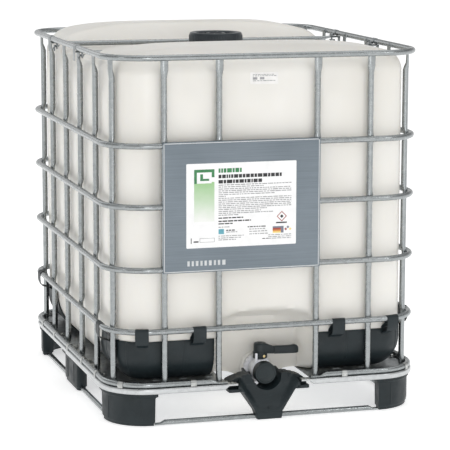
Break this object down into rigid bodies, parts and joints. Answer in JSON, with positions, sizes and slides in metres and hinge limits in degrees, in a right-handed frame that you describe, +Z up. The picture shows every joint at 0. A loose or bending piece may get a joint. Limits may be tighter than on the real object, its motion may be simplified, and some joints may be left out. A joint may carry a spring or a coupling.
{
  "type": "intermediate bulk container",
  "caption": "Liquid tote: a translucent blow-moulded bottle in a tubular steel cage on a footed pallet, with a screw filler lid on top and a lever valve with screw cap at the bottom front.",
  "frame": {"origin": "on the floor, at the centre of the footprint", "axes": "+Z up; +Y from the discharge valve's side to the rear, along the 1.2 m length; +X to the right when the valve is faced"},
  "size_m": [1, 1.2, 1.145],
  "materials": {
    "bottle": "translucent natural polyethylene, satin",
    "galvanised_tube": "galvanised, semi-bright",
    "deck_sheet": "galvanised sheet, dull",
    "label_plate": "galvanised sheet, blue-grey, satin",
    "black_plastic": "moulded polyethylene, satin",
    "lid_plastic": "moulded, fine grain",
    "handle_plastic": "glass-filled, fine grain",
    "valve_white": "moulded, satin",
    "seal": "matt"
  },
  "bodies": {
    "root": {"bottle": "bottle", "cage_ring_top": "galvanised_tube", "cage_ring_2": "galvanised_tube", "cage_ring_3": "galvanised_tube", "cage_ring_4": "galvanised_tube", "cage_ring_5": "galvanised_tube", "cage_ring_bottom": "galvanised_tube", "cage_bar_front_1": "galvanised_tube", "cage_bar_front_2": "galvanised_tube", "cage_bar_front_3": "galvanised_tube", "cage_bar_front_4": "galvanised_tube", "cage_bar_rear_1": "galvanised_tube", "cage_bar_rear_2": "galvanised_tube", "cage_bar_rear_3": "galvanised_tube", "cage_bar_rear_4": "galvanised_tube", "cage_bar_left_1": "galvanised_tube", "cage_bar_left_2": "galvanised_tube", "cage_bar_left_3": "galvanised_tube", "cage_bar_left_4": "galvanised_tube", "cage_bar_left_5": "galvanised_tube", "cage_bar_left_6": "galvanised_tube", "cage_bar_right_1": "galvanised_tube", "cage_bar_right_2": "galvanised_tube", "cage_bar_right_3": "galvanised_tube", "cage_bar_right_4": "galvanised_tube", "cage_bar_right_5": "galvanised_tube", "cage_bar_right_6": "galvanised_tube", "crossbar_front": "galvanised_tube", "crossbar_rear": "galvanised_tube", "clamp_front_left": "galvanised_tube", "clamp_front_right": "galvanised_tube", "clamp_rear_left": "galvanised_tube", "clamp_rear_right": "galvanised_tube", "label_plate": "label_plate", "pallet_rim": "galvanised_tube", "deck_pan": "deck_sheet", "corner_cover_front_left": "black_plastic", "corner_cover_front_right": "black_plastic", "corner_cover_rear_left": "black_plastic", "corner_cover_rear_right": "black_plastic", "corner_foot_front_left": "black_plastic", "corner_foot_front_right": "black_plastic", "corner_foot_rear_left": "black_plastic", "corner_foot_rear_right": "black_plastic", "middle_foot_left": "black_plastic", "middle_foot_right": "black_plastic", "middle_foot_rear": "black_plastic", "valve_foot": "black_plastic", "base_tube_front": "galvanised_tube", "base_tube_rear": "galvanised_tube", "base_tube_left": "galvanised_tube", "base_tube_right": "galvanised_tube", "valve_body": "valve_white", "union_nut": "valve_white"},
    "lid_lift": {"lid_seal": "seal"},
    "lid": {"filler_lid": "lid_plastic"},
    "valve_stem": {"valve_disc": "valve_white", "valve_handle": "handle_plastic"},
    "cap_travel": {"outlet_seal": "seal"},
    "cap": {"outlet_cap": "lid_plastic"}
  },
  "joints": [
    {"name": "lid_rise", "type": "slide", "parent": "root", "child": "lid_lift", "axis": [0, 0, 1], "range_m": [0, 0.0181]},
    {"name": "lid_unscrew", "type": "hinge", "parent": "lid_lift", "child": "lid", "pos_m": [0, 0, 1.09], "axis": [0, 0, 1], "range_deg": [0, 1080]},
    {"name": "valve_lever", "type": "hinge", "parent": "root", "child": "valve_stem", "pos_m": [0, -0.495, 0.133], "axis": [0, 0, 1], "range_deg": [-90, 0]},
    {"name": "cap_pull", "type": "slide", "parent": "root", "child": "cap_travel", "axis": [0, -1, 0], "range_m": [0, 0.0101]},
    {"name": "cap_unscrew", "type": "hinge", "parent": "cap_travel", "child": "cap", "pos_m": [0, -0.558, 0.133], "axis": [0, -1, 0], "range_deg": [0, 720]}
  ],
  "couplings": [
    {"joint": "lid_rise", "follows": "lid_unscrew", "m_per_rad": 0.00095493},
    {"joint": "cap_pull", "follows": "cap_unscrew", "m_per_rad": 0.00079577}
  ]
}
